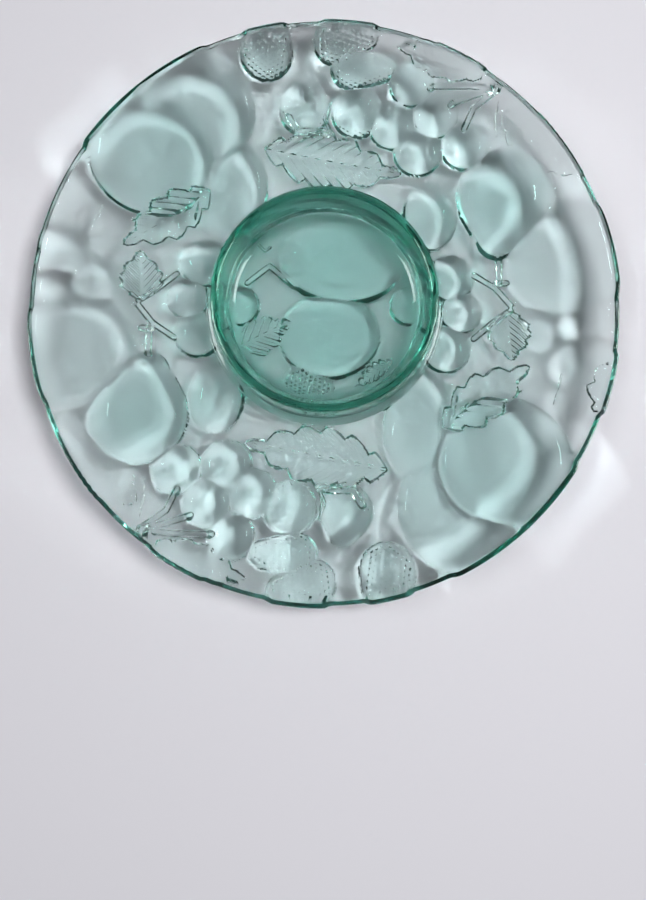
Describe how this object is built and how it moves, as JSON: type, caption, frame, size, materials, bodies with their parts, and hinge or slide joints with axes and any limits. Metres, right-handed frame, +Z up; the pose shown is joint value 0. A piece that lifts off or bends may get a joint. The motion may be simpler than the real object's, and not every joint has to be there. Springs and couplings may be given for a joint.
{
  "type": "chip and dip server",
  "caption": "Round pressed glass plate with fruit and leaf relief underneath and a loose central bowl for dip.",
  "frame": {"origin": "middle of the flat crowns under the plate, on the surface that it stands on", "axes": "+Z up through the middle of the bowl; +X to the right of the picture's first view and +Y away from its viewer"},
  "size_m": [0.33, 0.33, 0.0462],
  "materials": {
    "platter_glass": "clear pressed glass, sea green tint",
    "bowl_glass": "clear pressed glass, sea green tint"
  },
  "bodies": {
    "platter": {"platter": "platter_glass"},
    "dip_bowl": {"dip_bowl": "bowl_glass"}
  },
  "joints": [
    {"name": "dip_bowl_lift", "type": "slide", "parent": "platter", "child": "dip_bowl", "axis": [0, 0, 1], "range_m": [0, 0.12]}
  ]
}
